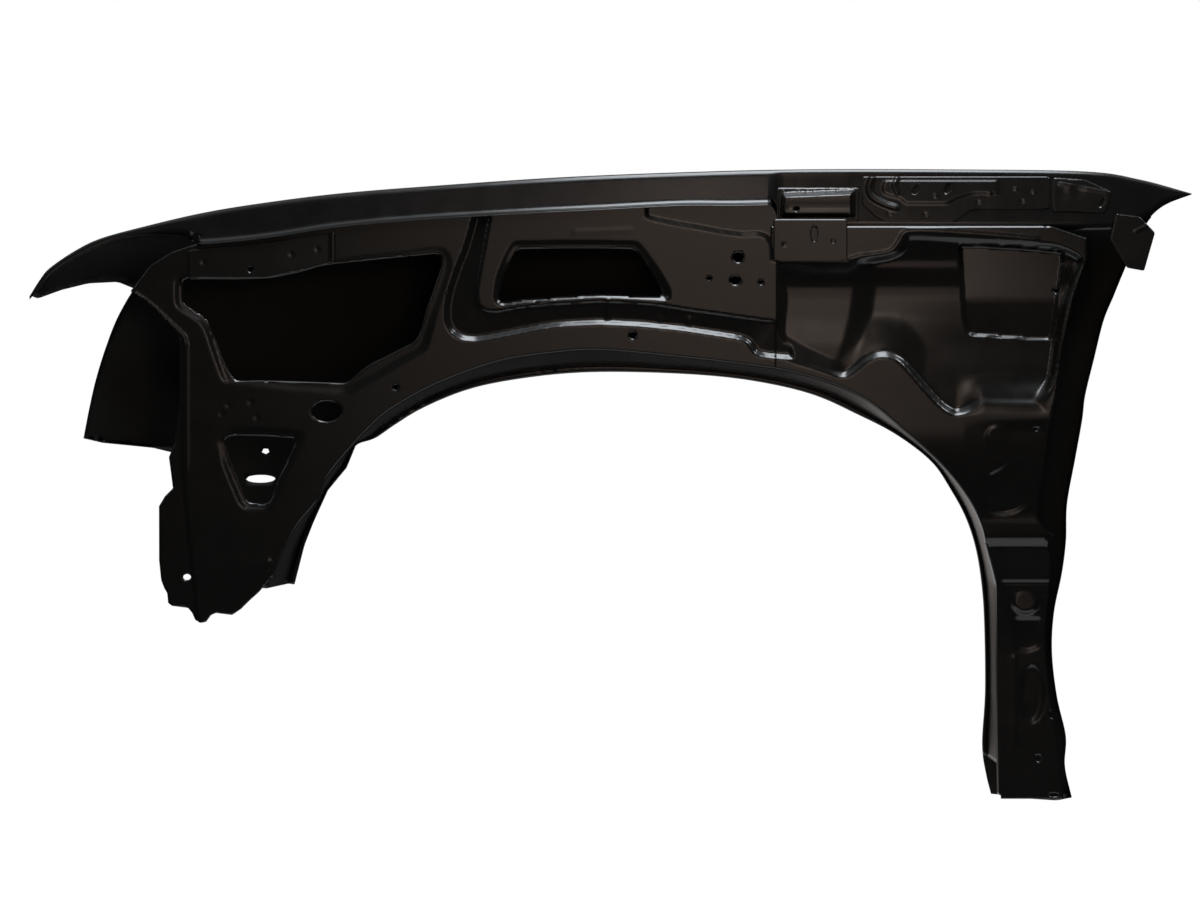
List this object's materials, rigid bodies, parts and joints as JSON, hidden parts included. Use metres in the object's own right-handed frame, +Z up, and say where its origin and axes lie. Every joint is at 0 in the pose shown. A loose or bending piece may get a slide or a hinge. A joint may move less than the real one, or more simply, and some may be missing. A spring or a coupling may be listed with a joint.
{
  "type": "car fender",
  "caption": "Right-hand front fender of a car in black primer: a pressed steel outer skin with a wheel opening, closed on the engine side by inner panels and welded brackets.",
  "frame": {"origin": "middle of the ledge along the top edge, by which the fender is held to the body", "axes": "+X to the rear of the car, +Y outboard, +Z up"},
  "size_m": [1.3, 0.1588, 0.7163],
  "materials": {
    "black_primer": "black dipped primer, semi-gloss, over thin pressed steel"
  },
  "bodies": {
    "root": {"outer_skin": "black_primer", "front_inner_panel": "black_primer", "rear_inner_panel": "black_primer", "leg_inner_panel": "black_primer", "front_upper_rail": "black_primer", "slotted_plate": "black_primer", "hinge_bracket_box": "black_primer", "hinge_reinforcement_plate": "black_primer", "corner_gusset": "black_primer", "rear_tab_bracket": "black_primer"}
  },
  "joints": []
}
